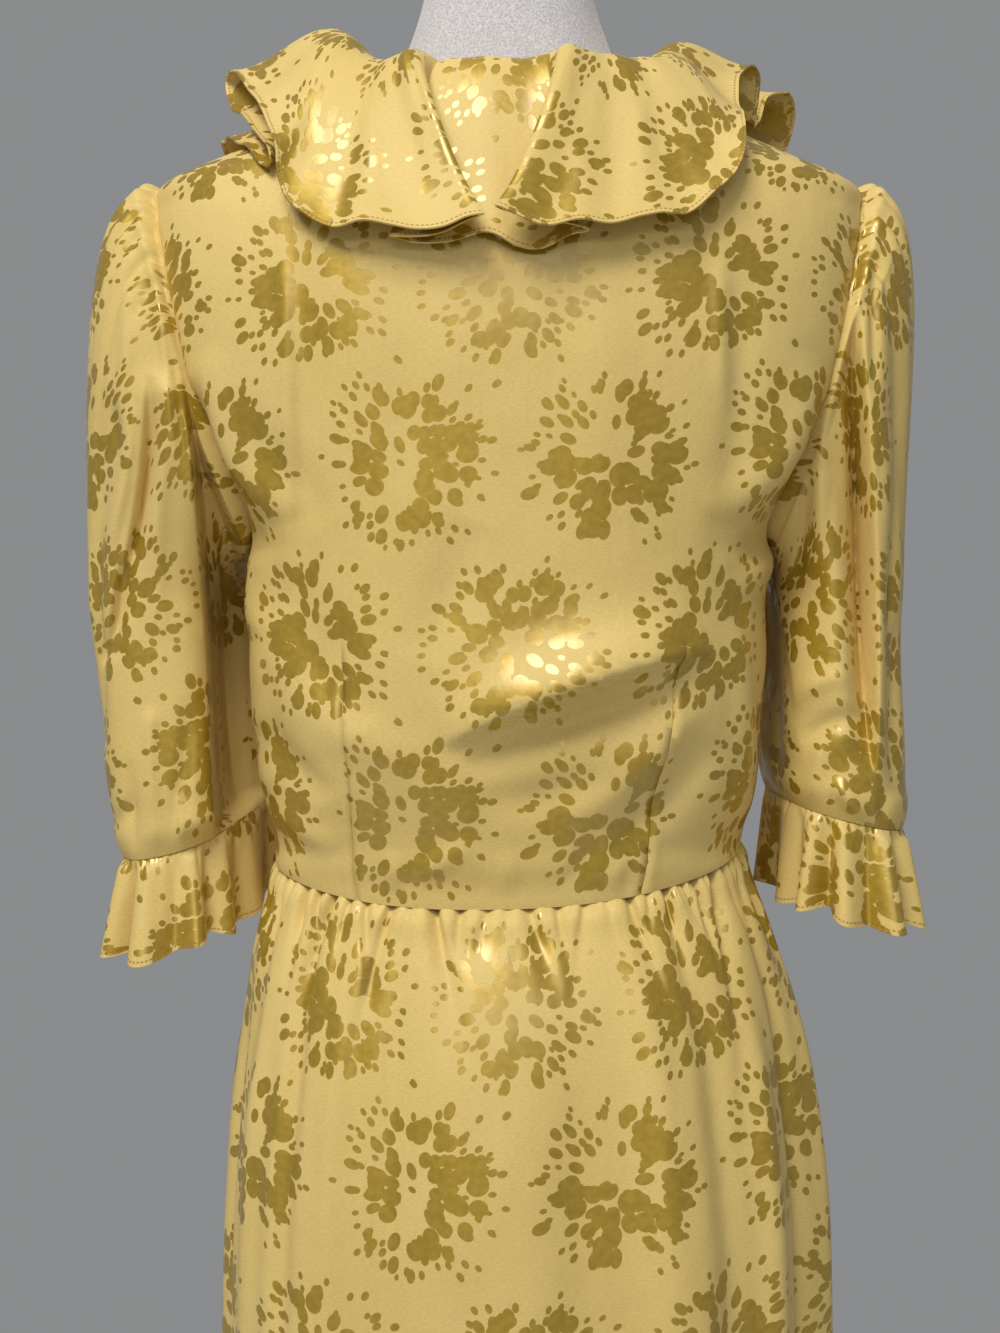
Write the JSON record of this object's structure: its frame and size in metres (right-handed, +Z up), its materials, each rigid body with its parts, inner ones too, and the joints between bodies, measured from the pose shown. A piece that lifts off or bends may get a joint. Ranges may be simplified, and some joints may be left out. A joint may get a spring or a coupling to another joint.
{
  "type": "wrap dress on a dress form",
  "caption": "Midi wrap dress with a ruffled wide collar, gathered sleeves with ruffled cuffs and a gathered skirt, shown on a limbless dress form with a round base.",
  "frame": {"origin": "centre of the base's flat underside, on the floor", "axes": "+Z up, the dress faces -Y, so its pictured back is at +Y; +X is the wearer's left"},
  "size_m": [0.4664, 0.4, 1.5263],
  "materials": {
    "bodice_back": "golden satin with a tone-on-tone woven pattern",
    "bodice_front_left": "golden satin with a tone-on-tone woven pattern",
    "bodice_front_right": "golden satin with a tone-on-tone woven pattern",
    "collar_flounce": "golden satin with a tone-on-tone woven pattern, narrow stitched hem",
    "sleeve_left": "golden satin with a tone-on-tone woven pattern",
    "sleeve_right": "golden satin with a tone-on-tone woven pattern",
    "cuff_ruffle_left": "golden satin with a tone-on-tone woven pattern, narrow stitched hem",
    "cuff_ruffle_right": "golden satin with a tone-on-tone woven pattern, narrow stitched hem",
    "skirt_back": "golden satin with a tone-on-tone woven pattern",
    "skirt_front_left": "golden satin with a tone-on-tone woven pattern",
    "skirt_front_right": "golden satin with a tone-on-tone woven pattern",
    "waist_tie_knot": "golden satin",
    "waist_tie_tail_front": "golden satin",
    "waist_tie_tail_side": "golden satin",
    "form_body": "pale grey flocked cover, matte",
    "form_cap": "matte grey",
    "form_pole": "brushed",
    "form_base": "brushed"
  },
  "bodies": {
    "root": {"bodice_back": "bodice_back", "bodice_front_left": "bodice_front_left", "bodice_front_right": "bodice_front_right", "collar_flounce": "collar_flounce", "sleeve_left": "sleeve_left", "sleeve_right": "sleeve_right", "cuff_ruffle_left": "cuff_ruffle_left", "cuff_ruffle_right": "cuff_ruffle_right", "skirt_back": "skirt_back", "skirt_front_left": "skirt_front_left", "skirt_front_right": "skirt_front_right", "waist_tie_knot": "waist_tie_knot", "waist_tie_tail_front": "waist_tie_tail_front", "waist_tie_tail_side": "waist_tie_tail_side", "form_body": "form_body", "form_cap": "form_cap", "form_pole": "form_pole", "form_base": "form_base"}
  },
  "joints": []
}
